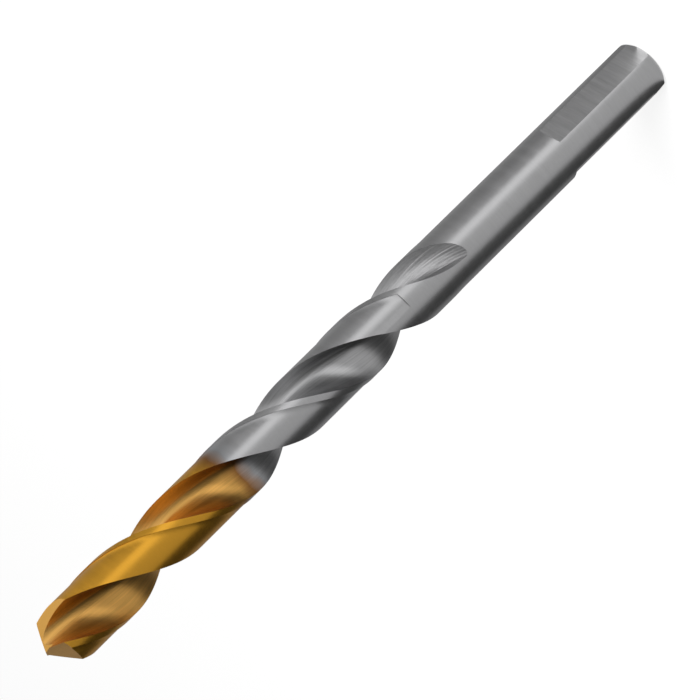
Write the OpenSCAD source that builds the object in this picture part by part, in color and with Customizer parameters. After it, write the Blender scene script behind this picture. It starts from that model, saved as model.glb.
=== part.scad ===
// Twist drill bit: two right-hand flutes, a ground point, three flats on the shank. Millimetres.
// It stands on the end face of its shank at z = 0, on the Z axis, with the point up.

/* [Overall] */
// Diameter over the margins at the point
cutting_diameter = 8.5; // [6:0.1:12]
// Length from the shank end to the point
overall_length = 117; // [105:1:150]

/* [Shank] */
// How much thinner the shank is than the cutting diameter
shank_undersize = 0.12; // [0.04:0.02:0.3]
// Bevel round the shank end
end_bevel = 0.45; // [0.2:0.05:1]
// Number of flats
flat_count = 3; // [2:1:4]
// Depth of each flat below the round shank
flat_depth = 0.34; // [0.15:0.01:0.5]
// Length of the flats from the shank end
flat_length = 19; // [12:0.5:26]
// Slope at the upper end of each flat, from the axis
flat_exit_angle = 55; // [30:5:80]

/* [Flutes] */
// Length from the point to the end of the run-out
flute_length = 77.6; // [60:0.1:80]
// Helix angle at the margins
helix_angle = 30; // [24:1:36]
// Web thickness at the point
web_thickness = 1.65; // [1.2:0.05:2]
// Growth of the web towards the shank, per 100 mm
web_taper = 1.4; // [0.4:0.1:2]
// Opening of each flute, from leading edge to heel
flute_opening = 92; // [84:1:100]
// Slope of the flute wall under the heel, from the radius
heel_hook = 28; // [10:1:40]
// Radius of the path on which the grinding wheel leaves the flute
runout_radius = 17; // [10:1:30]
// Direction in which the wheel leaves, from the leading edge
runout_turn = 65; // [55:1:75]

/* [Margins] */
// Width of each margin round the drill
margin_width = 1; // [0.5:0.05:1.5]
// Loss of diameter over the margins towards the shank, per 100 mm
back_taper = 0.04; // [0.02:0.01:0.08]
// Depth of the body clearance behind the margins
clearance_depth = 0.16; // [0.08:0.01:0.3]
// From the end of the run-out up to the end of the body clearance
clearance_start = 11.7; // [10:0.1:16]

/* [Point] */
// Angle between the two cutting lips
point_angle = 135; // [118:1:140]
// Relief angle behind the lips, at the margins
lip_relief = 12; // [8:1:16]
// Angle between a lip and the chisel edge
chisel_angle = 120; // [110:1:135]
// Thickness of the web that the heel grind leaves at the chisel edge
thinned_web = 0.36; // [0.2:0.02:0.8]
// Slope of the heel grind below the horizontal
heel_grind_slope = 56; // [48:1:60]
// Direction of the heel grind behind the lip corner
heel_grind_turn = 118; // [112:1:124]

/* [Fineness] */
// Twist between neighbouring rings of the flutes
ring_twist = 9; // [6:1:12]

/* [Hidden] */
$fn = 96;
steel = [0.62, 0.63, 0.65];

cut_r = cutting_diameter / 2;
body_r = cut_r - clearance_depth;
shank_r = cut_r - shank_undersize / 2;
lead = PI * cutting_diameter / tan(helix_angle);
point_half = point_angle / 2;
margin_turn = margin_width / cut_r * 180 / PI;
outside_r = cut_r * 1.3;

// Heights on the axis
point_z = overall_length;
corner_z = point_z - cut_r / tan(point_half);
above_z = point_z + 0.6;
flute_end_z = point_z - flute_length;
clearance_end_z = flute_end_z + clearance_start;
full_depth_z = flute_end_z + sqrt(2 * runout_radius * (cut_r - web_at(flute_end_z) / 2));

// The root of the ground body sits this far down in the blank below it
root_depth = 0.3;
root_z = clearance_end_z - root_depth;

// Turn of the leading edge; the first flat points along -Y
point_turn = 61.5;
function turn_at(z) = point_turn + 360 * (z - point_z) / lead;
function web_at(z) = web_thickness + web_taper * (point_z - z) / 100;
function margin_r(z) = cut_r - back_taper / 2 * (point_z - z) / 100;

function on_circle(r, a) = [r * cos(a), r * sin(a)];
function turned(p, a) = [p[0] * cos(a) - p[1] * sin(a), p[0] * sin(a) + p[1] * cos(a)];
function placed(outline, z, a) = [for (p = outline) let (q = turned(p, a)) [q[0], q[1], z]];

// Lip side of the flute: the curve that gives a straight cutting lip at this point angle
function lip_reach(w) = sqrt(cut_r * cut_r - w * w / 4);
function lip_turn(u, w) = atan2(w / 2, u) + 360 / lead * u / tan(point_half);
function lip_point(u, w) =
    on_circle(sqrt(u * u + w * w / 4), lip_turn(u, w) - lip_turn(lip_reach(w), w));

// Heel side of the flute: a hooked curve that leaves the web square and meets the heel edge
web_pull = 0.25;
heel_pull = 0.48;
heel_corner = on_circle(body_r, flute_opening);
heel_dir = on_circle(1, flute_opening - heel_hook);
function heel_point(t, w) =
    let (
        a = 90 - lip_turn(lip_reach(w), w),
        p0 = on_circle(w / 2, a),
        p1 = p0 + on_circle(cut_r * web_pull, a + 90),
        p2 = heel_corner - heel_dir * cut_r * heel_pull,
        s = 1 - t
    )
    s * s * s * p0 + 3 * t * s * s * p1 + 3 * t * t * s * p2 + t * t * t * heel_corner;

lip_steps = 6;
heel_steps = 6;
land_steps = 6;
margin_steps = 2;
function flute_wall(w) = concat(
    [for (i = [0 : lip_steps]) lip_point(lip_reach(w) * (1 - i / lip_steps), w)],
    [for (i = [1 : heel_steps]) heel_point(i / heel_steps, w)]
);

// Half of the fluted section: a flute wall, the cleared land behind it, and the next margin
function half_outline(z) =
    let (land_turn = 180 - flute_opening - margin_turn)
    concat(
        [on_circle(margin_r(z), 0)],
        [for (i = [1 : lip_steps + heel_steps]) flute_wall(web_at(z))[i]],
        [for (i = [1 : land_steps]) on_circle(body_r, flute_opening + land_turn * i / land_steps)],
        [for (i = [margin_steps : -1 : 1]) on_circle(margin_r(z), 180 - margin_turn * i / margin_steps)]
    );
half_points = 1 + lip_steps + heel_steps + land_steps + margin_steps;
function body_ring(z) = let (h = half_outline(z))
    concat(placed(h, z, turn_at(z)), placed(h, z, turn_at(z) + 180));
function land_middle(z, side) =
    placed([on_circle(cut_r / 2, 90 + flute_opening / 2 + side)], z, turn_at(z))[0];

// Side skin between m stacked rings of n points
function skin(n, m) = [for (i = [0 : m - 2]) for (j = [0 : n - 1])
    let (a = i * n + j, b = i * n + (j + 1) % n)
    each [[a, a + n, b + n], [a, b + n, b]]];

// Two right-hand flutes with their margins, each land closed from its own middle
ring_step = lead * ring_twist / 360;
module fluted_body() {
    count = ceil((above_z - root_z) / ring_step);
    n = 2 * half_points;
    half = half_points;
    top = count * n;
    hub = top + n;
    polyhedron(
        points = concat(
            [for (i = [0 : count]) each body_ring(root_z + (above_z - root_z) * i / count)],
            [for (z = [root_z, above_z]) each [land_middle(z, 0), land_middle(z, 180)]]
        ),
        faces = concat(
            skin(n, count + 1),
            [for (s = [0, 1]) for (j = [0 : half - 1])
                let (a = (lip_steps + s * half + j) % n, b = (a + 1) % n)
                each [[hub + s, a, b], [hub + 2 + s, top + b, top + a]]],
            [for (s = [0, 1])
                let (a = lip_steps + s * half, b = lip_steps + (1 - s) * half)
                each [[hub + s, b, a], [hub + 2 + s, top + a, top + b]]]
        )
    );
}

// Run-out: below its full depth the wheel leaves the steel on an arc.
// Its flutes are a hair narrower than those above, which keeps the root of the body inside the blank.
runout_share = 0.99;
runout_rings = 16;
runout_low_z = flute_end_z - 0.5;
runout_top_z = clearance_end_z + 0.5;
flute_middle = [cut_r * 0.4, cut_r * 0.5];
function lift_at(z) = pow(max(0, full_depth_z - z), 2) / (2 * runout_radius);
function runout_ring(z) =
    let (
        outline = concat(
            [[outside_r, 0]],
            flute_wall(web_at(z)),
            [heel_corner + heel_dir * (outside_r - cut_r)],
            [on_circle(outside_r * 1.15, 60), on_circle(outside_r * 1.15, 25)]
        ),
        lift = on_circle(lift_at(z), runout_turn)
    )
    placed([for (p = outline) flute_middle + (p - flute_middle) * runout_share + lift], z, turn_at(z));
function runout_hub(z) = placed([flute_middle + on_circle(lift_at(z), runout_turn)], z, turn_at(z))[0];

module runout_cut() {
    heights = [for (i = [0 : runout_rings]) runout_low_z + (runout_top_z - runout_low_z) * i / runout_rings];
    n = len(runout_ring(runout_low_z));
    top = runout_rings * n;
    hub = top + n;
    polyhedron(
        points = concat([for (z = heights) each runout_ring(z)], [runout_hub(runout_low_z), runout_hub(runout_top_z)]),
        faces = concat(
            [for (f = skin(n, runout_rings + 1)) [f[2], f[1], f[0]]],
            [for (j = [0 : n - 1]) let (b = (j + 1) % n) each [[hub, b, j], [hub + 1, top + j, top + b]]]
        )
    );
}

// Point: each flank starts at its lip and falls away behind it, as far as the chisel plane.
// One cutter carries both flanks, with the step between them on that plane.
corner_turn = turn_at(corner_z);
lip_offset = asin(web_thickness / cutting_diameter);
chisel_turn = corner_turn - lip_offset + 180 - chisel_angle;
flank_rows = 6;
flank_columns = 14;
flank_r = cut_r * 1.02;
function row_r(k) = flank_r * pow(k / flank_rows, 1.5);
function lip_lead(r) = asin(min(1, web_thickness / 2 / r)) - lip_offset;
function flank_z(r, a) =
    point_z - r * (1 / tan(point_half) + tan(lip_relief) * max(0, corner_turn - a + lip_lead(r)) * PI / 180);

module flank_cut() {
    last = flank_columns;
    m = 2 * (last + 1);
    rim = 1 + flank_rows * m;
    hub = rim + 2 * last;
    function at(k, i) = 1 + (k - 1) * m + i % m;
    function rim_at(i) = rim + (i % m > last ? i % m - 1 : i % m) % (2 * last);
    plain = [for (i = [0 : m - 1]) if (i % (last + 1) != last) i];
    polyhedron(
        points = concat(
            [[0, 0, point_z]],
            [for (k = [1 : flank_rows]) for (s = [0, 1]) for (j = [0 : last])
                let (a = chisel_turn - 180 * j / last, p = on_circle(row_r(k), a - 180 * s))
                [p[0], p[1], flank_z(row_r(k), a)]],
            [for (i = [0 : 2 * last - 1])
                let (p = on_circle(outside_r, chisel_turn - 180 * i / last)) [p[0], p[1], corner_z]],
            [[0, 0, point_z + 2 * cutting_diameter]]
        ),
        faces = concat(
            [for (i = [0 : m - 1]) [at(1, i + 1), at(1, i), 0]],
            [for (k = [1 : flank_rows - 1]) for (i = [0 : m - 1])
                each [[at(k + 1, i + 1), at(k + 1, i), at(k, i)], [at(k, i + 1), at(k + 1, i + 1), at(k, i)]]],
            [for (i = [0 : m - 1]) [at(flank_rows, i + 1), rim_at(i + 1), at(flank_rows, i)]],
            [for (i = plain) each [[rim_at(i + 1), rim_at(i), at(flank_rows, i)], [rim_at(i), rim_at(i + 1), hub]]]
        )
    );
}

// Heel grind: a steep flat face behind each flank, up to the thinned web
module heel_grind() {
    big = cutting_diameter * 3;
    translate([0, 0, point_z])
        intersection() {
            rotate([0, 0, corner_turn - heel_grind_turn])
                rotate([0, heel_grind_slope, 0])
                    translate([-big / 2, -big / 2, 0])
                        cube(big);
            rotate([0, 0, chisel_turn])
                translate([-big / 2, -thinned_web / 2 - big, -big])
                    cube([big, big, big * 2]);
        }
}

module both_sides() {
    children();
    rotate([0, 0, 180]) children();
}

// The fluted body with its point ground, brought to its exact height
module ground_body() {
    resize([0, 0, point_z - root_z])
        difference() {
            fluted_body();
            flank_cut();
            both_sides() heel_grind();
        }
}

// Shank and the lower end of the body: a round blank, ground over the margins above the shoulder
shoulder_z = flute_end_z + 2.5;
shoulder_length = 2;
module round_blank() {
    rotate_extrude()
        polygon([
            [0, 0],
            [shank_r - end_bevel, 0],
            [shank_r, end_bevel],
            [shank_r, shoulder_z],
            [cut_r, shoulder_z + shoulder_length],
            [cut_r, clearance_end_z],
            [0, clearance_end_z]
        ]);
}

// Flats: straight cuts that leave the shank on a slope
module flat_cut() {
    below = 1;
    rotate([90, 0, 0])
        translate([0, 0, -cutting_diameter])
            linear_extrude(height = cutting_diameter * 2)
                polygon([
                    [shank_r - flat_depth, -below],
                    [shank_r - flat_depth, flat_length],
                    [shank_r + cut_r, flat_length + (cut_r + flat_depth) / tan(flat_exit_angle)],
                    [shank_r + cut_r, -below]
                ]);
}

module shank_and_runout() {
    difference() {
        round_blank();
        for (i = [0 : flat_count - 1])
            rotate([0, 0, -90 + 360 * i / flat_count]) flat_cut();
        both_sides() runout_cut();
    }
}

module drill_bit() {
    color(steel)
        union() {
            shank_and_runout();
            ground_body();
        }
}

drill_bit();
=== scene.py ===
from math import radians, sin, cos, tan, pi, atan2, asin, sqrt, hypot, ceil

import bmesh
import bpy
from mathutils import Matrix, Vector


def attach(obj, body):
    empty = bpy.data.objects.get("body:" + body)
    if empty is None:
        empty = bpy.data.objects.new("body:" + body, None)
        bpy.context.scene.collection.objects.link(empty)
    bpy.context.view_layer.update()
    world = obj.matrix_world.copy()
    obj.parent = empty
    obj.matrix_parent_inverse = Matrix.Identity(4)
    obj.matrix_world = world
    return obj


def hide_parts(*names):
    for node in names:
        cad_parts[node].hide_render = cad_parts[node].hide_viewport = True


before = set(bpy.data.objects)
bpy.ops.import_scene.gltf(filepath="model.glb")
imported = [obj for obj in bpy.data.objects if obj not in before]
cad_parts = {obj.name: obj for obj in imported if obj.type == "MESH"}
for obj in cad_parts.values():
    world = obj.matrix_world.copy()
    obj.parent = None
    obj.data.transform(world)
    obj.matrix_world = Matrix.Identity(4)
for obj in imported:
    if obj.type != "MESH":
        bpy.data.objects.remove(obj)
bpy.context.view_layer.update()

mm = 0.001

# Sizes of the drill in millimetres and degrees
drill = {
    "diameter": 8.5,
    "length": 117.0,
    "fluteLength": 77.6,
    "helixAngle": 30.0,
    "webAtPoint": 1.5,
    "webGrowth": 1.6,          # per 100 mm towards the shank
    "fluteOpening": 92.0,
    "heelHook": 28.0,
    "webPull": 0.37,           # fullness of the flute's heel side next to the web, in cutting radii
    "heelPull": 0.48,          # and next to the heel
    "marginWidth": 1.0,
    "backTaper": 0.04,         # on the diameter, per 100 mm
    "clearanceDepth": 0.16,
    "hollowFrom": 0.86,        # share of the land at which the clearance starts to rise to the margin
    "hollowRise": 0.55,        # how far it rises, in clearance depths
    "clearanceStart": 11.7,    # above the end of the run-out
    "clearanceExit": 31.4,     # behind the leading edge, where the clearance wheel leaves the land
    "pointTurn": 61.5,         # turn of the leading edge at the point
}
pointGrind = {
    "pointAngle": 135.0,
    "lipRelief": 12.0,
    "flankFall": 0.042,        # how fast the flank falls away behind the lip, per mm
    "thinnedWeb": 0.3,
    "splitTurn": 24.0,         # between a lip and the inner edge that the split gives it
    "heelOffset": 0.13,        # how far from the point's tip the heel grind stays
    "heelSlope": 56.0,
    "heelTurn": 118.0,
    "rows": 22,
    "columns": 144,
    "rowSpread": 1.4,          # sets the rows closer together near the chisel
    "overhang": 1.02,          # how far the curved flanks reach, in cutting radii
}
shank = {
    "undersize": 0.12,
    "bevel": 0.45,
    "flats": 3,
    "flatDepth": 0.42,
    "flatLength": 19.0,
    "flatExit": 55.0,          # slope at a flat's upper end, from the axis
    "shoulderAt": 2.5,         # above the end of the run-out
    "shoulderLength": 2.0,
    "sides": 192,
}
runOut = {
    "wheelPath": 17.0,         # radius of the arc on which the wheel leaves the drill
    "exitTurn": 65.0,          # direction in which it leaves, from the leading edge
    "wallFoot": 2.5,           # radius at which the wall meets the floor
    "floorTurn": 145.0,        # direction of the floor where it leaves the wall
    "floorBend": -54.0,        # how much it turns on the way to the heel
    "floorLength": 5.0,
    "blendPower": 2.2,         # how late the floor takes over from the flute's own section
    "ripple": 0.009,           # height of the wheel's marks in the floor
    "ripplePitch": 0.42,
    "rippleRatio": 2.3,        # between the coarser and the finer marks
    "scores": ((1.9, 0.05), (3.2, 0.06)),      # steps between two passes: how far from the wall, how deep
    "scoreWidth": 0.12,
    "share": 0.9988,           # a hair narrower than the body's flutes, so that the two pieces join
    "runOffShare": 1.004,      # a hair wider, so that the body's own flutes show
    "rings": 90,
    "heel": 90,                # sides of the floor
    "middle": (0.4, 0.5),      # point of the wheel's section about which it is scaled, in cutting radii
    "backReach": 1.5,          # back of the section, outside the drill
    "backTurns": (75, 25),
}
# Above the clearance's end each land has a short flat, on which the clearance runs off
runOff = {
    "length": 7.6,
    "sink": 0.01,              # how far the flat lies below the cleared land at its middle
    "reach": 80.0,             # degrees; past them the section lies inside the drill
    "insideR": 0.6,
}
# Sides of each part of the outlines, and steps along the drill in mm
fineness = {
    "lip": 22,
    "heel": 26,
    "land": 22,
    "margin": 5,
    "ringStep": 0.36,
    "shankStep": 1.0,
    "blankStep": 0.8,
    "shoulder": 8,
    "sharpFrom": 24.0,         # degrees between two faces with a sharp edge
    "joinWithin": 1e-5,        # mm
}

cutR = drill["diameter"] / 2
bodyR = cutR - drill["clearanceDepth"]
shankR = cutR - shank["undersize"] / 2
lead = pi * drill["diameter"] / tan(radians(drill["helixAngle"]))
pointHalf = radians(pointGrind["pointAngle"] / 2)
pointZ = drill["length"]
aboveZ = pointZ + 0.6           # the body's upper end before the point is ground
cornerZ = pointZ - cutR / tan(pointHalf)
fluteEndZ = pointZ - drill["fluteLength"]
clearanceEndZ = fluteEndZ + drill["clearanceStart"]
rootZ = clearanceEndZ - 0.3     # the body's lower end, inside the blank
runOffEndZ = clearanceEndZ + runOff["length"]
outsideR = cutR * 1.3


def webAt(z):
    return drill["webAtPoint"] + drill["webGrowth"] * (pointZ - z) / 100


def turnAt(z):
    return radians(drill["pointTurn"]) + 2 * pi * (z - pointZ) / lead


lipWay = turnAt(cornerZ) - asin(drill["webAtPoint"] / drill["diameter"])
fullDepthZ = fluteEndZ + sqrt(2 * runOut["wheelPath"] * (cutR - webAt(fluteEndZ) / 2))


def onCircle(r, turn):
    return Vector((r * cos(turn), r * sin(turn), 0))


# Lip side of the flute: the curve that grinds to a straight lip
def lipTurn(along, web):
    return atan2(web / 2, along) + 2 * pi / lead * along / tan(pointHalf)


def lipPoint(along, web):
    reach = sqrt(cutR ** 2 - web ** 2 / 4)
    return onCircle(hypot(along, web / 2), lipTurn(along, web) - lipTurn(reach, web))


def fluteWall(web, heelSteps):
    reach = sqrt(cutR ** 2 - web ** 2 / 4)
    wall = [lipPoint(reach * (1 - i / fineness["lip"]), web) for i in range(fineness["lip"] + 1)]
    start = pi / 2 - lipTurn(reach, web)
    corner = onCircle(bodyR, radians(drill["fluteOpening"]))
    heelWay = onCircle(1, radians(drill["fluteOpening"] - drill["heelHook"]))
    p0 = onCircle(web / 2, start)
    p1 = p0 + onCircle(cutR * drill["webPull"], start + pi / 2)
    p2 = corner - heelWay * cutR * drill["heelPull"]
    for i in range(1, heelSteps + 1):
        t = i / heelSteps
        s = 1 - t
        wall.append(p0 * s ** 3 + p1 * (3 * t * s * s) + p2 * (3 * t * t * s) + corner * t ** 3)
    return wall, heelWay


# Regions of the fluted section, one finish each
fluteRegion, landRegion, marginRegion = 0, 1, 2


def bodyOutline(z):
    wall = fluteWall(webAt(z), fineness["heel"])[0]
    marginR = cutR - drill["backTaper"] / 2 * (pointZ - z) / 100
    marginTurn = drill["marginWidth"] / cutR
    opening = radians(drill["fluteOpening"])
    landTurn = pi - opening - marginTurn
    half = [(onCircle(marginR, 0), fluteRegion)]
    half += [(p, fluteRegion) for p in wall[1:-1]] + [(wall[-1], landRegion)]
    hollow = 1 - drill["hollowFrom"]
    for i in range(1, fineness["land"] + 1):
        share = i / fineness["land"]
        # the clearance rises to the margin in a small hollow, as its grinding wheel leaves it
        risen = max(0, (share - drill["hollowFrom"]) / hollow) ** 2
        rise = drill["clearanceDepth"] * drill["hollowRise"] * risen
        half.append((onCircle(bodyR + rise, opening + landTurn * share), landRegion))
    half[-1] = (half[-1][0], marginRegion)
    for i in range(fineness["margin"]):
        half.append((onCircle(marginR, pi - marginTurn * (1 - i / fineness["margin"])), marginRegion))
    spin = Matrix.Rotation(pi, 4, "Z")
    return [p for p, _ in half] + [spin @ p for p, _ in half], [r for _, r in half] * 2


# Where the wheel leaves the drill its flat floor meets the wall in a corner
def runOutFloor():
    reach = sqrt(cutR ** 2 - webAt(rootZ) ** 2 / 4)
    foot = runOut["wallFoot"]
    steps = fineness["lip"]
    floor = [onCircle(foot + (reach - foot) * (1 - i / steps), 0) for i in range(steps + 1)]
    at = floor[-1]
    stride = runOut["floorLength"] / runOut["heel"]
    for i in range(1, runOut["heel"] + 1):
        turn = radians(runOut["floorTurn"] + runOut["floorBend"] * i / runOut["heel"])
        at = at + onCircle(stride, turn)
        along = stride * i
        wave = 2 * pi * along / runOut["ripplePitch"]
        marks = runOut["ripple"] * (sin(wave) + sin(wave / runOut["rippleRatio"] + 1))
        for place, depth in runOut["scores"]:
            marks -= depth * min(1, max(0, (along - place) / runOut["scoreWidth"]))
        floor.append(at + onCircle(marks, turn - pi / 2))
    return floor


def runOutOutline(wall, heelWay, share):
    outline = [onCircle(outsideR, 0)] + wall + [wall[-1] + heelWay * (outsideR - cutR)]
    outline += [onCircle(outsideR * runOut["backReach"], radians(turn)) for turn in runOut["backTurns"]]
    across, along = runOut["middle"]
    middle = Vector((cutR * across, cutR * along, 0))
    return [middle + (p - middle) * share for p in outline]


mathNode, vectorNode = "ShaderNodeMath", "ShaderNodeVectorMath"


def addNode(tree, kind, links=None, **settings):
    node = tree.nodes.new(kind)
    for name, value in settings.items():
        setattr(node, name, value)
    for name, value in (links or {}).items():
        socket = node.inputs[name]
        if isinstance(value, bpy.types.NodeSocket):
            tree.links.new(value, socket)
        else:
            socket.default_value = value
    return node


def linearColour(hexCode):
    channels = [int(hexCode[i:i + 2], 16) / 255 for i in (1, 3, 5)]
    return tuple(c / 12.92 if c <= 0.04045 else ((c + 0.055) / 1.055) ** 2.4 for c in channels) + (1.0,)


# Finishes. Every steel shares the coat: gold from the point up to its edge, then a brown and a blue fringe.
steelLook = {
    "bare": "#BABABB",
    "gold": "#E3A73A",
    "fringe": "#A0703E",       # brown where the coat thins out
    "heatBlue": "#B1B3B6",
    "coatEdge": 84.6,          # height of the coat's edge, mm
    "coatFade": 4.2,
    "blueFrom": 4.0,           # the heated zone starts this far below the edge, mm
    "blueFull": 1.0,           # and has its full colour here
    "edgeWander": 0.3,         # turns of the edge per mm
    "broadShare": 0.22,        # pitch of the broad marks, as a share of the fine ones'
    "markRange": (0.6, 1.4),   # the two noises together stay within this
    "glossRange": (-0.03, 0.06),
}


def addFinish(name, marks):
    material = bpy.data.materials.new(name)
    material.use_nodes = True
    tree = material.node_tree
    tree.nodes.clear()
    out = addNode(tree, "ShaderNodeOutputMaterial")
    place = addNode(tree, "ShaderNodeTexCoord").outputs["Object"]
    inMm = addNode(tree, vectorNode, {0: place, "Scale": 1 / mm}, operation="SCALE").outputs["Vector"]
    height = addNode(tree, "ShaderNodeSeparateXYZ", {0: inMm}).outputs["Z"]

    # Grinding marks: noise stretched in the direction in which the wheel went
    lay = inMm
    if marks["followsFlute"]:
        turn = addNode(tree, mathNode, {0: height, 1: -2 * pi / lead}, operation="MULTIPLY").outputs[0]
        lay = addNode(tree, "ShaderNodeVectorRotate", {
            "Vector": inMm, "Angle": turn}, rotation_type="Z_AXIS").outputs[0]
    stretched = addNode(tree, vectorNode, {0: lay, 1: marks["stretch"]}, operation="MULTIPLY").outputs[0]
    fine = addNode(tree, "ShaderNodeTexNoise", {
        "Vector": stretched, "Scale": marks["pitch"], "Detail": 3.0, "Roughness": 0.6}).outputs[0]
    broad = addNode(tree, "ShaderNodeTexNoise", {
        "Vector": stretched, "Scale": marks["pitch"] * steelLook["broadShare"], "Detail": 2.0}).outputs[0]
    blotch = addNode(tree, "ShaderNodeTexNoise", {
        "Vector": inMm, "Scale": steelLook["edgeWander"], "Detail": 1.0}).outputs[0]
    both = addNode(tree, mathNode, {0: broad, 1: fine}, operation="ADD").outputs[0]

    # Coat: its edge wanders a little, and lies lower in the flutes
    wander = addNode(tree, "ShaderNodeMapRange", {
        "Value": blotch, "To Min": -marks["coatWander"], "To Max": marks["coatWander"]}).outputs[0]
    edge = addNode(tree, mathNode, {0: height, 1: wander}, operation="ADD").outputs[0]
    low = steelLook["coatEdge"] + marks["coatShift"]
    halfFade = steelLook["coatFade"] / 2
    coat = addNode(tree, "ShaderNodeMapRange", {
        "Value": edge, "From Min": low - halfFade, "From Max": low + halfFade}).outputs[0]
    colourNames = ("bare", "gold", "fringe", "heatBlue")
    bareSteel, gold, fringe, heatBlue = (linearColour(steelLook[k]) for k in colourNames)
    ramp = addNode(tree, "ShaderNodeValToRGB", {"Fac": coat})
    band = ramp.color_ramp
    band.elements[0].position, band.elements[0].color = 0.0, heatBlue
    thinned = [g + (b - g) * marks["paling"] for g, b in zip(gold, bareSteel)]
    band.elements[1].position, band.elements[1].color = 1.0, thinned
    band.elements.new(0.5).color = fringe
    blueing = addNode(tree, "ShaderNodeMapRange", {
        "Value": edge, "From Min": low - steelLook["blueFrom"],
        "From Max": low - steelLook["blueFull"]}).outputs[0]
    heated = addNode(tree, "ShaderNodeMix", {
        0: blueing, 6: bareSteel, 7: heatBlue}, data_type="RGBA").outputs[2]
    coated = addNode(tree, mathNode, {0: coat, 1: 0.001}, operation="GREATER_THAN").outputs[0]
    base = addNode(tree, "ShaderNodeMix", {
        0: coated, 6: heated, 7: ramp.outputs["Color"]}, data_type="RGBA").outputs[2]

    # The marks darken the steel a little and change its gloss
    least, most = steelLook["markRange"]
    glossier, duller = steelLook["glossRange"]
    shade = addNode(tree, "ShaderNodeMapRange", {
        "Value": both, "From Min": least, "From Max": most,
        "To Min": 1 - marks["contrast"], "To Max": 1 + marks["contrast"] / 2}).outputs[0]
    shadedBase = addNode(tree, vectorNode, {0: base, "Scale": shade}, operation="SCALE").outputs[0]
    gloss = addNode(tree, "ShaderNodeMapRange", {
        "Value": both, "From Min": least, "From Max": most,
        "To Min": marks["roughness"] + glossier, "To Max": marks["roughness"] + duller}).outputs[0]
    bump = addNode(tree, "ShaderNodeBump", {
        "Height": both, "Strength": marks["bump"], "Distance": marks["depth"] * mm}).outputs[0]
    steel = addNode(tree, "ShaderNodeBsdfPrincipled", {
        "Base Color": shadedBase, "Metallic": 1.0, "Roughness": gloss, "Normal": bump})
    tree.links.new(steel.outputs[0], out.inputs[0])
    return material


# A stretch below 1 draws the marks out that way; pitch is in marks per mm, depth in mm. coatShift is where
# the coat's edge lies on this surface, in mm, and paling how far the coat has thinned towards bare steel.
finishes = {
    # flutes, ground from the solid: long lines along the flute, drawn coarser than real so that they show
    "groundFlute": {
        "followsFlute": True, "stretch": (1.0, 1.0, 0.035), "pitch": 5.0, "contrast": 0.3, "roughness": 0.31,
        "bump": 0.45, "depth": 0.012, "coatShift": -2.0, "coatWander": 2.2, "paling": 0.14},
    # cleared land: satin, faint lines round the drill
    "satinLand": {
        "followsFlute": False, "stretch": (0.12, 0.12, 1.0), "pitch": 5.0, "contrast": 0.06,
        "roughness": 0.32, "bump": 0.12, "depth": 0.006, "coatShift": 0.8, "coatWander": 1.0, "paling": 0.0},
    # margins: cylindrically ground, the brightest strip
    "groundMargin": {
        "followsFlute": False, "stretch": (0.12, 0.12, 1.0), "pitch": 8.0, "contrast": 0.08,
        "roughness": 0.31, "bump": 0.25, "depth": 0.006, "coatShift": 0.5, "coatWander": 1.0, "paling": 0.0},
    # flanks of the point: plunge ground, the coat worn thin and greyish
    "groundFlank": {
        "followsFlute": False, "stretch": (1.0, 1.0, 0.3), "pitch": 6.0, "contrast": 0.12, "roughness": 0.34,
        "bump": 0.25, "depth": 0.006, "coatShift": 0.0, "coatWander": 1.0, "paling": 0.2},
    # heel of the point: plunge ground, nearly smooth
    "groundPoint": {
        "followsFlute": False, "stretch": (1.0, 1.0, 0.3), "pitch": 6.0, "contrast": 0.08, "roughness": 0.31,
        "bump": 0.2, "depth": 0.006, "coatShift": 0.0, "coatWander": 1.0, "paling": 0.1},
    # shank: centreless ground, fine rings
    "groundShank": {
        "followsFlute": False, "stretch": (0.1, 0.1, 1.0), "pitch": 6.0, "contrast": 0.08, "roughness": 0.33,
        "bump": 0.22, "depth": 0.006, "coatShift": 0.0, "coatWander": 1.0, "paling": 0.0},
    # flats: milled straight across
    "milledFlat": {
        "followsFlute": False, "stretch": (0.06, 0.06, 1.0), "pitch": 7.0, "contrast": 0.2, "roughness": 0.34,
        "bump": 0.5, "depth": 0.012, "coatShift": 0.0, "coatWander": 1.0, "paling": 0.0},
}
finish = {name: addFinish(name, marks) for name, marks in finishes.items()}
print("finishes made")


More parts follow.
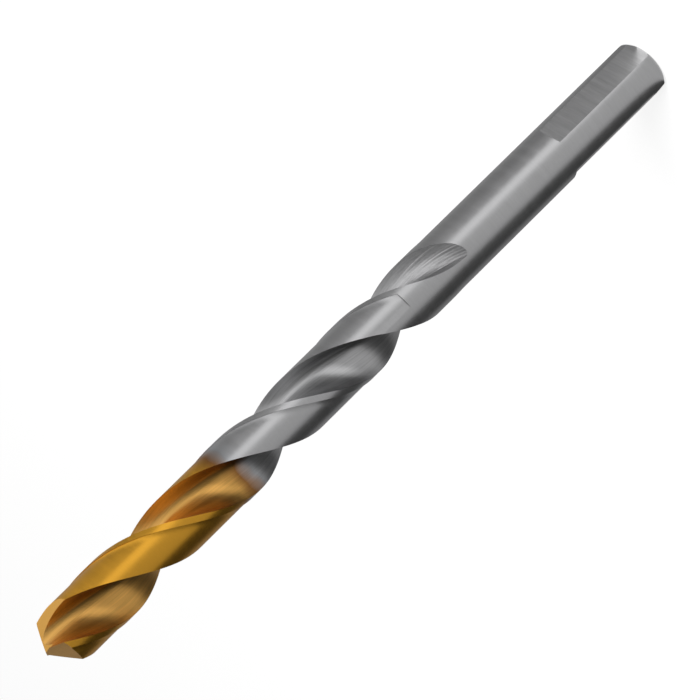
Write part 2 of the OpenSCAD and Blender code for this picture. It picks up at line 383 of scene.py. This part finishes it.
# Twisted stack: rings of one outline, turned by the helix and blended from the lower outline to the upper one
def addTwistTree():
    tree = bpy.data.node_groups.new("twistedStack", "GeometryNodeTree")
    tree.interface.new_socket(name="Outline", in_out="INPUT", socket_type="NodeSocketGeometry")
    tree.interface.new_socket(name="Rings", in_out="INPUT", socket_type="NodeSocketInt")
    for name in ("Low", "High", "Lead", "Turn At High", "Blend Top", "Blend Power",
                 "Full Depth Height", "Wheel Path", "Exit Turn"):
        tree.interface.new_socket(name=name, in_out="INPUT", socket_type="NodeSocketFloat")
    for name in ("Flute Finish", "Land Finish", "Margin Finish"):
        tree.interface.new_socket(name=name, in_out="INPUT", socket_type="NodeSocketMaterial")
    tree.interface.new_socket(name="Stack", in_out="OUTPUT", socket_type="NodeSocketGeometry")
    given = addNode(tree, "NodeGroupInput").outputs

    # a grid with one more column than the outline has points: the last column closes it round
    sizes = addNode(tree, "GeometryNodeAttributeDomainSize", {"Geometry": given["Outline"]}, component="MESH")
    count = sizes.outputs["Point Count"]
    columns = addNode(tree, mathNode, {0: count, 1: 1.0}, operation="ADD").outputs[0]
    rows = addNode(tree, mathNode, {0: given["Rings"], 1: 1.0}, operation="ADD").outputs[0]
    grid = addNode(tree, "GeometryNodeMeshGrid", {"Vertices X": rows, "Vertices Y": columns}).outputs["Mesh"]
    index = addNode(tree, "GeometryNodeInputIndex").outputs[0]
    shifted = addNode(tree, mathNode, {0: index, 1: 0.5}, operation="ADD").outputs[0]
    rowPlace = addNode(tree, mathNode, {0: shifted, 1: columns}, operation="DIVIDE").outputs[0]
    row = addNode(tree, mathNode, {0: rowPlace}, operation="FLOOR").outputs[0]
    rowStart = addNode(tree, mathNode, {0: row, 1: columns}, operation="MULTIPLY").outputs[0]
    inRow = addNode(tree, mathNode, {0: index, 1: rowStart}, operation="SUBTRACT").outputs[0]
    column = addNode(tree, mathNode, {0: inRow, 1: count}, operation="FLOORED_MODULO").outputs[0]
    share = addNode(tree, mathNode, {0: row, 1: given["Rings"]}, operation="DIVIDE").outputs[0]

    def sampled(name, kind, at):
        value = addNode(tree, "GeometryNodeInputNamedAttribute", {"Name": name}, data_type=kind).outputs[0]
        links = {"Geometry": given["Outline"], "Value": value, "Index": at}
        return addNode(tree, "GeometryNodeSampleIndex", links, data_type=kind, domain="POINT").outputs[0]

    # height of the ring, and its outline between the lower and the upper one
    low, high, blendTop = given["Low"], given["High"], given["Blend Top"]
    reach = addNode(tree, mathNode, {0: high, 1: low}, operation="SUBTRACT").outputs[0]
    climb = addNode(tree, mathNode, {0: share, 1: reach}, operation="MULTIPLY").outputs[0]
    height = addNode(tree, mathNode, {0: low, 1: climb}, operation="ADD").outputs[0]
    aboveLow = addNode(tree, mathNode, {0: height, 1: low}, operation="SUBTRACT").outputs[0]
    blendReach = addNode(tree, mathNode, {0: blendTop, 1: low}, operation="SUBTRACT").outputs[0]
    risen = addNode(tree, mathNode, {0: aboveLow, 1: blendReach}, operation="DIVIDE").outputs[0]
    risen = addNode(tree, mathNode, {0: risen, 1: 1.0}, operation="MINIMUM").outputs[0]
    shapeShare = addNode(tree, mathNode, {0: risen, 1: given["Blend Power"]}, operation="POWER").outputs[0]
    lowPlace = sampled("lowShape", "FLOAT_VECTOR", column)
    highPlace = sampled("highShape", "FLOAT_VECTOR", column)
    blended = addNode(tree, "ShaderNodeMix", {
        0: shapeShare, 4: lowPlace, 5: highPlace}, data_type="VECTOR", clamp_factor=False).outputs[1]

    # below its full depth the wheel leaves the drill on an arc
    fullDepth = given["Full Depth Height"]
    short = addNode(tree, mathNode, {0: fullDepth, 1: height}, operation="SUBTRACT").outputs[0]
    below = addNode(tree, mathNode, {0: short, 1: 0.0}, operation="MAXIMUM").outputs[0]
    squared = addNode(tree, mathNode, {0: below, 1: below}, operation="MULTIPLY").outputs[0]
    wheelAcross = addNode(tree, mathNode, {0: given["Wheel Path"], 1: 2.0}, operation="MULTIPLY").outputs[0]
    lift = addNode(tree, mathNode, {0: squared, 1: wheelAcross}, operation="DIVIDE").outputs[0]
    exitCos = addNode(tree, mathNode, {0: given["Exit Turn"]}, operation="COSINE").outputs[0]
    exitSin = addNode(tree, mathNode, {0: given["Exit Turn"]}, operation="SINE").outputs[0]
    liftX = addNode(tree, mathNode, {0: lift, 1: exitCos}, operation="MULTIPLY").outputs[0]
    liftY = addNode(tree, mathNode, {0: lift, 1: exitSin}, operation="MULTIPLY").outputs[0]
    lifting = addNode(tree, "ShaderNodeCombineXYZ", {"X": liftX, "Y": liftY, "Z": height}).outputs[0]
    moved = addNode(tree, vectorNode, {0: blended, 1: lifting}, operation="ADD").outputs[0]

    # every ring is turned by the helix
    belowHigh = addNode(tree, mathNode, {0: height, 1: high}, operation="SUBTRACT").outputs[0]
    leads = addNode(tree, mathNode, {0: belowHigh, 1: given["Lead"]}, operation="DIVIDE").outputs[0]
    fallen = addNode(tree, mathNode, {0: leads, 1: 2 * pi}, operation="MULTIPLY").outputs[0]
    angle = addNode(tree, mathNode, {0: given["Turn At High"], 1: fallen}, operation="ADD").outputs[0]
    turned = addNode(tree, "ShaderNodeVectorRotate", {
        "Vector": moved, "Angle": angle}, rotation_type="Z_AXIS").outputs[0]
    metres = addNode(tree, vectorNode, {0: turned, "Scale": mm}, operation="SCALE").outputs[0]
    stack = addNode(tree, "GeometryNodeSetPosition", {"Geometry": grid, "Position": metres}).outputs[0]

    # a grid's faces count along a row too: the remainder is the outline's side that each one lies on
    side = addNode(tree, mathNode, {0: index, 1: count}, operation="FLOORED_MODULO").outputs[0]
    region = sampled("region", "FLOAT", side)
    stack = addNode(tree, "GeometryNodeRealizeInstances", {"Geometry": stack}).outputs[0]
    regions = (("Flute Finish", fluteRegion), ("Land Finish", landRegion), ("Margin Finish", marginRegion))
    for name, number in regions:
        here = addNode(tree, mathNode, {0: region, 1: float(number), 2: 0.1}, operation="COMPARE").outputs[0]
        stack = addNode(tree, "GeometryNodeSetMaterial", {
            "Geometry": stack, "Selection": here, "Material": given[name]}).outputs[0]
    out = addNode(tree, "NodeGroupOutput")
    tree.links.new(stack, out.inputs[0])
    return tree


twistTree = addTwistTree()


def addObject(name, mesh):
    piece = bpy.data.objects.new(name, mesh)
    bpy.context.scene.collection.objects.link(piece)
    return piece


def evaluated(piece):
    bpy.context.view_layer.update()
    return bpy.data.meshes.new_from_object(piece.evaluated_get(bpy.context.evaluated_depsgraph_get()))


def closeSkin(mesh):
    work = bmesh.new()
    work.from_mesh(mesh)
    bmesh.ops.remove_doubles(work, verts=work.verts, dist=fineness["joinWithin"] * mm)
    loose = [e for e in work.edges if e.is_boundary]
    bmesh.ops.holes_fill(work, edges=loose, sides=0)
    # the short diagonals lie on the drill's round surfaces, the long ones would cut creases into them
    bmesh.ops.triangulate(work, faces=work.faces, quad_method="SHORT_EDGE")
    bmesh.ops.recalc_face_normals(work, faces=work.faces)
    if work.calc_volume(signed=True) < 0:
        bmesh.ops.reverse_faces(work, faces=work.faces)
    work.to_mesh(mesh)
    work.free()


def twistedStack(name, lowShape, highShape, regions, sizes):
    outline = bpy.data.meshes.new(name + "Outline")
    outline.from_pydata([(0, 0, i * mm) for i in range(len(lowShape))], [], [])
    for label, shape in (("lowShape", lowShape), ("highShape", highShape)):
        places = outline.attributes.new(label, "FLOAT_VECTOR", "POINT")
        places.data.foreach_set("vector", [c for p in shape for c in p])
    outline.attributes.new("region", "FLOAT", "POINT").data.foreach_set("value", [float(r) for r in regions])
    piece = addObject(name, outline)
    stack = piece.modifiers.new("twist", "NODES")
    stack.node_group = twistTree
    for socket in twistTree.interface.items_tree:
        if socket.in_out == "INPUT" and socket.name in sizes:
            stack[socket.identifier] = sizes[socket.name]
    mesh = evaluated(piece)
    piece.modifiers.clear()
    piece.data = mesh
    closeSkin(mesh)
    return piece


twistFinishes = {
    "Flute Finish": finish["groundFlute"],
    "Land Finish": finish["satinLand"],
    "Margin Finish": finish["groundMargin"],
}
highShape, regions = bodyOutline(aboveZ)
lowShape, _ = bodyOutline(rootZ)
body = twistedStack("drillBit", lowShape, highShape, regions, {
    "Rings": ceil((aboveZ - rootZ) / fineness["ringStep"]), "Low": rootZ, "High": aboveZ, "Lead": lead,
    "Turn At High": turnAt(aboveZ), "Blend Top": aboveZ, "Blend Power": 1.0, "Full Depth Height": 0.0,
    "Wheel Path": runOut["wheelPath"], "Exit Turn": 0.0, **twistFinishes})
print("fluted body", len(body.data.polygons))

runOutLow, runOutHigh = fluteEndZ - 0.5, runOffEndZ + 0.5
wall, heelWay = fluteWall(webAt(rootZ), runOut["heel"])
highShape = runOutOutline(wall, heelWay, runOut["share"])
floorEndWay = onCircle(1, radians(runOut["floorTurn"] + runOut["floorBend"]))
lowShape = runOutOutline(runOutFloor(), floorEndWay, runOut["share"])
fluteWheel = twistedStack("fluteWheel", lowShape, highShape, [fluteRegion] * len(highShape), {
    "Rings": runOut["rings"], "Low": runOutLow, "High": runOutHigh, "Lead": lead,
    "Turn At High": turnAt(runOutHigh), "Blend Top": rootZ, "Blend Power": runOut["blendPower"],
    "Full Depth Height": fullDepthZ, "Wheel Path": runOut["wheelPath"],
    "Exit Turn": radians(runOut["exitTurn"]), **twistFinishes})
print("run-out wheel", len(fluteWheel.data.polygons))

# Along the clearance's run-off the blank is cut back to just below the walls of the body's flutes
runOffLow = (rootZ + clearanceEndZ) / 2
lowShape, highShape = (
    runOutOutline(*fluteWall(webAt(z), fineness["heel"]), runOut["runOffShare"])
    for z in (runOffLow, runOutHigh))
runOffWheel = twistedStack("runOffWheel", lowShape, highShape, [fluteRegion] * len(highShape), {
    "Rings": ceil((runOutHigh - runOffLow) / fineness["ringStep"]), "Low": runOffLow, "High": runOutHigh,
    "Lead": lead, "Turn At High": turnAt(runOutHigh), "Blend Top": runOutHigh, "Blend Power": 1.0,
    "Full Depth Height": 0.0, "Wheel Path": runOut["wheelPath"], "Exit Turn": 0.0, **twistFinishes})
print("run-off wheel", len(runOffWheel.data.polygons))


def addSolid(name, points, faces, material):
    mesh = bpy.data.meshes.new(name)
    mesh.from_pydata([Vector(p) * mm for p in points], [], faces)
    mesh.materials.append(material)
    piece = addObject(name, mesh)
    closeSkin(mesh)
    return piece


# Both flanks of the point in one cutter: each is flat along its lip and falls away behind it
def flankFallAt(behind):
    return tan(radians(pointGrind["lipRelief"])) * behind + pointGrind["flankFall"] * behind ** 2


def flankDrop(r, turn):
    across, along = r * sin(turn), r * cos(turn)
    half = drill["webAtPoint"] / 2
    return max(side * along / tan(pointHalf) + flankFallAt(half - side * across) for side in (1, -1))


def addFlankWheel():
    chiselFall = tan(radians(pointGrind["lipRelief"])) + pointGrind["flankFall"] * drill["webAtPoint"]
    chiselTurn = atan2(1 / tan(pointHalf), chiselFall)
    rows, n = pointGrind["rows"], pointGrind["columns"]
    points = [Vector((0, 0, pointZ))]
    for k in range(1, rows + 1):
        r = cutR * pointGrind["overhang"] * (k / rows) ** pointGrind["rowSpread"]
        for i in range(n):
            turn = chiselTurn - 2 * pi * i / n
            z = pointZ + flankDrop(0, 0) - flankDrop(r, turn)
            points.append(onCircle(r, lipWay + turn) + Vector((0, 0, z)))
    for i in range(n):
        points.append(onCircle(outsideR, lipWay + chiselTurn - 2 * pi * i / n) + Vector((0, 0, cornerZ)))
    points.append(Vector((0, 0, pointZ + 2 * drill["diameter"])))
    faces = []
    for i in range(n):
        j = (i + 1) % n
        faces += [(1 + j, 1 + i, 0), (1 + rows * n + i, 1 + rows * n + j, len(points) - 1)]
        for k in range(rows):
            faces.append((1 + (k + 1) * n + j, 1 + (k + 1) * n + i, 1 + k * n + i, 1 + k * n + j))
    return addSolid("flankWheel", points, faces, finish["groundFlank"])


# Wedge that one pass of the heel grind takes away
def addHeelWheel():
    work = bmesh.new()
    bmesh.ops.create_cube(work, size=6 * drill["diameter"])
    slope = radians(pointGrind["heelSlope"])
    away = onCircle(1, turnAt(cornerZ) - radians(pointGrind["heelTurn"]))
    normal = away * sin(slope) + Vector((0, 0, cos(slope)))
    side = onCircle(1, lipWay + pi + radians(pointGrind["splitTurn"]) + pi / 2)
    planes = (normal * pointGrind["heelOffset"], normal), (side * pointGrind["thinnedWeb"] / 2, side)
    for origin, way in planes:
        whole = work.verts[:] + work.edges[:] + work.faces[:]
        cut = bmesh.ops.bisect_plane(work, geom=whole, plane_co=origin, plane_no=way, clear_inner=True)
        rim = [e for e in cut["geom_cut"] if isinstance(e, bmesh.types.BMEdge)]
        bmesh.ops.holes_fill(work, edges=rim, sides=0)
    points = [v.co + Vector((0, 0, pointZ)) for v in work.verts]
    faces = [[v.index for v in f.verts] for f in work.faces]
    work.free()
    return addSolid("heelWheel", points, faces, finish["groundPoint"])


# Section above the end of the clearance: each land's flat, which runs off to the full diameter
def runOffRadius(turn):
    behind = (turnAt(clearanceEndZ) - radians(drill["clearanceExit"]) - turn) % pi
    if behind >= radians(runOff["reach"]):
        return runOff["insideR"]
    return min(cutR, (bodyR - runOff["sink"]) / cos(behind))


# Shank and the lower end of the body, turned from its profile
def addBlank():
    shoulderZ = fluteEndZ + shank["shoulderAt"]
    shoulderTopZ = shoulderZ + shank["shoulderLength"]
    bevel = shank["bevel"]
    profile = [(shankR - bevel, 0), (shankR, bevel)]
    steps = int((shoulderZ - bevel) / fineness["shankStep"])
    profile += [(shankR, bevel + (shoulderZ - bevel) * i / steps) for i in range(1, steps + 1)]
    steps = fineness["shoulder"]
    for i in range(1, steps + 1):
        rise = (cutR - shankR) * (1 - cos(pi * i / steps)) / 2
        profile.append((shankR + rise, shoulderZ + shank["shoulderLength"] * i / steps))
    reach = clearanceEndZ - shoulderTopZ
    steps = int(reach / fineness["blankStep"])
    profile += [(cutR, shoulderTopZ + reach * i / steps) for i in range(1, steps + 1)]
    n = shank["sides"]
    turns = [2 * pi * i / n for i in range(n)]
    points = [onCircle(r, turn) + Vector((0, 0, z)) for r, z in profile for turn in turns]
    for z in (clearanceEndZ, runOffEndZ):
        points += [onCircle(runOffRadius(turn), turn) + Vector((0, 0, z)) for turn in turns]
    last = len(profile) + 1
    faces = []
    for k in range(last):
        for i in range(n):
            j = (i + 1) % n
            faces.append((k * n + i, k * n + j, (k + 1) * n + j, (k + 1) * n + i))
    points += [Vector((0, 0, 0)), Vector((0, 0, runOffEndZ))]
    foot, top = len(points) - 2, len(points) - 1
    for i in range(n):
        j = (i + 1) % n
        faces += [(foot, j, i), (top, last * n + i, last * n + j)]
    return addSolid("blank", points, faces, finish["groundShank"])


def addFlatCutter(name, turn):
    inner, outer = shankR - shank["flatDepth"], shankR + cutR
    rise = (outer - inner) / tan(radians(shank["flatExit"]))
    profile = [(inner, -1), (inner, shank["flatLength"]), (outer, shank["flatLength"] + rise), (outer, -1)]
    spin = Matrix.Rotation(turn, 4, "Z")
    points = [spin @ Vector((r, y, z)) for y in (-cutR * 2, cutR * 2) for r, z in profile]
    faces = [(0, 1, 2, 3), (7, 6, 5, 4)] + [(i, i + 4, (i + 1) % 4 + 4, (i + 1) % 4) for i in range(4)]
    return addSolid(name, points, faces, finish["milledFlat"])


def combine(piece, tool, operation, turn=0.0):
    if turn:
        tool.data.transform(Matrix.Rotation(turn, 4, "Z"))
    step = piece.modifiers.new("cut", "BOOLEAN")
    step.operation, step.object, step.solver, step.material_mode = operation, tool, "EXACT", "TRANSFER"
    mesh = evaluated(piece)
    piece.modifiers.clear()
    piece.data = mesh
    print("  ", operation.lower(), tool.name, len(mesh.polygons))


flankWheel = addFlankWheel()
combine(body, flankWheel, "DIFFERENCE")
heelWheel = addHeelWheel()
combine(body, heelWheel, "DIFFERENCE")
combine(body, heelWheel, "DIFFERENCE", pi)
print("point ground")

blank = addBlank()
combine(blank, fluteWheel, "DIFFERENCE")
combine(blank, fluteWheel, "DIFFERENCE", pi)
combine(blank, runOffWheel, "DIFFERENCE")
combine(blank, runOffWheel, "DIFFERENCE", pi)
for i in range(shank["flats"]):
    flatCutter = addFlatCutter("flatCutter", 2 * pi * i / shank["flats"] - pi / 2)
    combine(blank, flatCutter, "DIFFERENCE")
    bpy.data.objects.remove(flatCutter)
combine(body, blank, "UNION")
for tool in (flankWheel, heelWheel, blank, fluteWheel, runOffWheel):
    bpy.data.objects.remove(tool)
body.data.name = "drillBit"
body.data.set_sharp_from_angle(angle=radians(fineness["sharpFrom"]))
for face in body.data.polygons:
    face.use_smooth = True
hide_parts("drill_bit")
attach(body, "root")
print("drill made", len(body.data.polygons), "faces")


# Camera: matched to the outline of the drill in the photograph, which is seen from its point end and rolled
camera = {
    "turn": -123.8,            # polar direction of the camera about the drill, degrees
    "tilt": 21.52,             # degrees above the drill's level
    "roll": 44.54,
    "aimHeight": 59.5,         # mm
    "aimRight": -0.471,        # mm, the frame's middle from the drill's axis
    "aimUp": 0.197,
    "distance": 452.5,         # mm
    "focal": 178.84,           # mm
    "sensor": 36.0,            # mm
}


def addCamera():
    turn, tilt, roll = (radians(camera[k]) for k in ("turn", "tilt", "roll"))
    axis = Vector((0, 0, 1))
    toward = onCircle(1, turn)
    aside = axis.cross(toward)
    right = -axis * cos(tilt) * cos(roll) + toward * sin(tilt) * cos(roll) - aside * sin(roll)
    up = -axis * cos(tilt) * sin(roll) + toward * sin(tilt) * sin(roll) + aside * cos(roll)
    back = axis * sin(tilt) + toward * cos(tilt)
    aim = Vector((0, 0, camera["aimHeight"])) + right * camera["aimRight"] + up * camera["aimUp"]
    lens = bpy.data.cameras.new("camera")
    lens.lens, lens.sensor_width, lens.clip_start = camera["focal"], camera["sensor"], 0.01
    view = bpy.data.objects.new("camera", lens)
    bpy.context.scene.collection.objects.link(view)
    facing = Matrix((right, up, back)).transposed().to_4x4()
    view.matrix_world = Matrix.Translation((aim + back * camera["distance"]) * mm) @ facing
    bpy.context.scene.camera = view
    return toward, aside


toward, aside = addCamera()
print("camera set")


# Stage: white table and white surroundings, lamps, and cards round the drill that only its steel mirrors
studio = {
    "tableSide": 3.0,          # metres
    "tableShadow": 0.2,        # how much of the drill's shadow the white table keeps
    "tableColour": "#F4F4F4",
    "fill": 0.55,              # soft light from all round
}
# Bearings in degrees from the camera's side, towards the drill's lit side; radii and heights in mm
cardRing = {
    "inner": 3.0,
    "outer": 600,
    "lift": 0.05,
    "lowWall": 210,
    "highWall": 460,
    "top": 850,
    "steps": 12,               # sides for each span of degrees
    "span": 60,
}
tableCards = {
    "lightCard": {"from": -60, "to": 12, "strength": 0.64},
    "brightCard": {"from": 12, "to": 41, "strength": 1.32},
    "paleCard": {"from": 41, "to": 75, "strength": 0.38},
    "greyCard": {"from": 75, "to": 125, "strength": 0.27},
    "farCard": {"from": 125, "to": 205, "strength": 0.37},
    "duskCard": {"from": 205, "to": 238, "strength": 0.3},
    "darkCard": {"from": 238, "to": 300, "strength": 0.07},
}
wallCards = {
    "blackWall": {"from": -125, "to": -58, "low": 0.012, "high": 0.1},
    "charcoalWall": {"from": -58, "to": -28, "low": 0.02, "high": 0.14},
    "duskWall": {"from": -28, "to": 2, "low": 0.12, "high": 0.48},
    "greyWall": {"from": 2, "to": 30, "low": 0.4, "high": 0.9},
    "lightWall": {"from": 30, "to": 60, "low": 1.0, "high": 1.1},
    "brightWall": {"from": 60, "to": 135, "low": 1.2, "high": 1.0},
    "farWall": {"from": 135, "to": 235, "low": 0.3, "high": 0.3},
}
upperCards = {"upperWall": 0.42, "canopy": 0.05}
lamps = {
    "softbox": {"bearing": 30, "rise": 50, "distance": 0.7, "size": 0.35, "power": 7.0},
    "rimLamp": {"bearing": -110, "rise": 25, "distance": 0.8, "size": 0.15, "power": 1.5},
}


# 1 on the rays of the camera and on mirrored and passing ones, 0 on those that light the drill
def addSeen(tree):
    path = addNode(tree, "ShaderNodeLightPath").outputs
    direct, mirrored, passing = (path["Is %s Ray" % kind] for kind in ("Camera", "Glossy", "Transmission"))
    seen = addNode(tree, mathNode, {0: direct, 1: mirrored}, operation="ADD").outputs[0]
    return addNode(tree, mathNode, {0: seen, 1: passing}, operation="ADD", use_clamp=True).outputs[0]


def addTable():
    material = bpy.data.materials.new("whiteTable")
    material.use_nodes = True
    tree = material.node_tree
    tree.nodes.clear()
    clear = 1 - studio["tableShadow"]
    glowShare = addNode(tree, mathNode, {0: addSeen(tree), 1: clear}, operation="MULTIPLY").outputs[0]
    lit = addNode(tree, "ShaderNodeBsdfDiffuse", {"Color": linearColour(studio["tableColour"])}).outputs[0]
    glow = addNode(tree, "ShaderNodeEmission", {"Strength": 1.0}).outputs[0]
    surface = addNode(tree, "ShaderNodeMixShader", {0: glowShare, 1: lit, 2: glow}).outputs[0]
    addNode(tree, "ShaderNodeOutputMaterial", {0: surface})
    half = studio["tableSide"] / 2
    corners = [(-half, -half, 0), (half, -half, 0), (half, half, 0), (-half, half, 0)]
    mesh = bpy.data.meshes.new("table")
    mesh.from_pydata(corners, [], [(0, 1, 2, 3)])
    mesh.materials.append(material)
    addObject("table", mesh)


def addWorld():
    world = bpy.data.worlds.new("whiteStudio")
    world.use_nodes = True
    tree = world.node_tree
    tree.nodes.clear()
    strength = addNode(tree, "ShaderNodeMapRange", {
        "Value": addSeen(tree), "To Min": studio["fill"], "To Max": 1.0}).outputs[0]
    sky = addNode(tree, "ShaderNodeBackground", {"Strength": strength, "Color": (1, 1, 1, 1)}).outputs[0]
    addNode(tree, "ShaderNodeOutputWorld", {0: sky})
    bpy.context.scene.world = world


# A card is a sector between two rings, each given as a radius and a height
def addCard(name, start, end, rings, strength):
    steps = cardRing["steps"] * max(1, round((end - start) / cardRing["span"]))
    points, faces = [], []
    for i in range(steps + 1):
        bearing = radians(start + (end - start) * i / steps)
        way = toward * cos(bearing) + aside * sin(bearing)
        points += [(way * r + Vector((0, 0, z))) * mm for r, z in rings]
    for i in range(steps):
        faces.append((2 * i, 2 * i + 2, 2 * i + 3, 2 * i + 1))
    mesh = bpy.data.meshes.new(name)
    mesh.from_pydata(points, [], faces)
    material = bpy.data.materials.new(name)
    material.use_nodes = True
    material.node_tree.nodes.clear()
    glow = addNode(material.node_tree, "ShaderNodeEmission", {"Strength": strength})
    addNode(material.node_tree, "ShaderNodeOutputMaterial", {0: glow.outputs[0]})
    mesh.materials.append(material)
    piece = addObject(name, mesh)
    piece.visible_camera = piece.visible_shadow = piece.visible_diffuse = False


def addCards():
    edge, lift = cardRing["outer"], cardRing["lift"]
    wall = edge + 1
    low, high, top = (cardRing[k] for k in ("lowWall", "highWall", "top"))
    for name, card in tableCards.items():
        addCard(name, card["from"], card["to"], ((cardRing["inner"], lift), (edge, lift)), card["strength"])
    for name, card in wallCards.items():
        addCard(name, card["from"], card["to"], ((wall, lift), (wall, low)), card["low"])
        addCard(name + "Top", card["from"], card["to"], ((wall, low), (wall, high)), card["high"])
    addCard("upperWall", 0, 360, ((wall, high), (wall, top)), upperCards["upperWall"])
    addCard("canopy", 0, 360, ((1, top), (wall, top)), upperCards["canopy"])


def addLamp(name, lamp):
    bearing, rise = radians(lamp["bearing"]), radians(lamp["rise"])
    way = (toward * cos(bearing) + aside * sin(bearing)) * cos(rise) + Vector((0, 0, sin(rise)))
    light = bpy.data.lights.new(name, "AREA")
    light.size, light.energy = lamp["size"], lamp["power"]
    piece = bpy.data.objects.new(name, light)
    piece.visible_glossy = False
    bpy.context.scene.collection.objects.link(piece)
    aim = Vector((0, 0, drill["length"] / 2 * mm))
    facing = way.to_track_quat("Z", "Y").to_matrix().to_4x4()
    piece.matrix_world = Matrix.Translation(aim + way * lamp["distance"]) @ facing


addTable()
addWorld()
addCards()
for name, lamp in lamps.items():
    addLamp(name, lamp)
bpy.context.scene.view_settings.view_transform = "Standard"
print("stage set")
